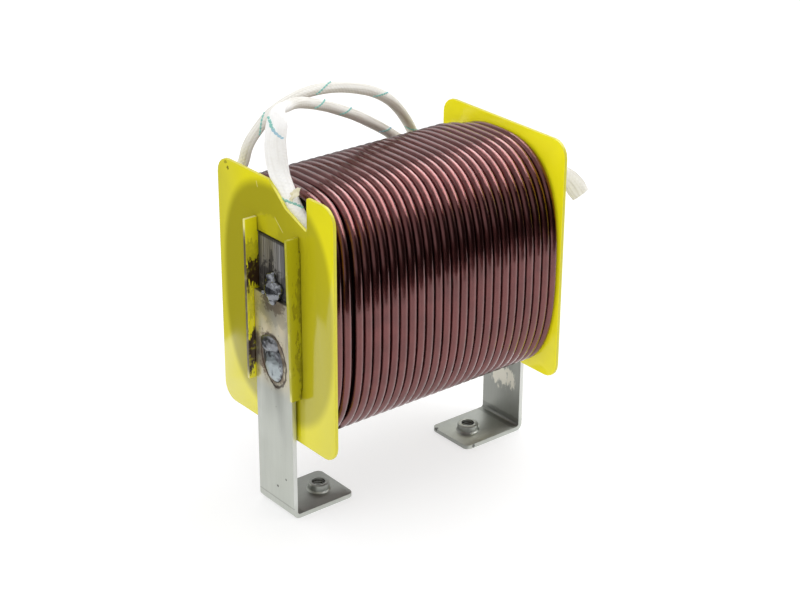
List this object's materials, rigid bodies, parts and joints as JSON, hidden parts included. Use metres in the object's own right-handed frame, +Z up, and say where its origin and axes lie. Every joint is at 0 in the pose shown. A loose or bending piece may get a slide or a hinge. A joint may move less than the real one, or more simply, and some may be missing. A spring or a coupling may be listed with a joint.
{
  "type": "single-coil reactor",
  "caption": "Laminated bar core in a glass-board bobbin, wound with one layered coil of thick enamelled wire, standing on bent steel strip feet, with sleeved lead wires.",
  "frame": {"origin": "on the surface that the feet stand on, midway between the flanges", "axes": "+X along the core, from the slotted front flange to the plain rear flange; +Y across the coil; +Z up"},
  "size_m": [0.1552, 0.0744, 0.136],
  "materials": {
    "yellow_glass_board": "glossy translucent glass-epoxy board with paler cut edges",
    "brown_enamelled_wire": "glossy dark red-brown enamel on copper wire",
    "core_sheet_steel": "dull dark grey sheared sheet edges",
    "strip_steel": "satin grey-green rolled steel with heat tint",
    "weld_metal": "bright and sooty weld metal",
    "white_glass_sleeving": "matt white braided glass sleeving with a fine tracer thread"
  },
  "bodies": {
    "root": {"core_stack": "core_sheet_steel", "front_flange": "yellow_glass_board", "rear_flange": "yellow_glass_board", "left_side_board": "yellow_glass_board", "right_side_board": "yellow_glass_board", "top_board": "yellow_glass_board", "bottom_board": "yellow_glass_board", "inner_winding": "brown_enamelled_wire", "outer_winding": "brown_enamelled_wire", "front_bracket": "strip_steel", "rear_bracket": "strip_steel", "front_plug_weld": "weld_metal", "rear_plug_weld": "weld_metal", "front_top_weld": "weld_metal", "rear_top_weld": "weld_metal", "start_lead": "white_glass_sleeving", "finish_lead": "white_glass_sleeving"}
  },
  "joints": []
}
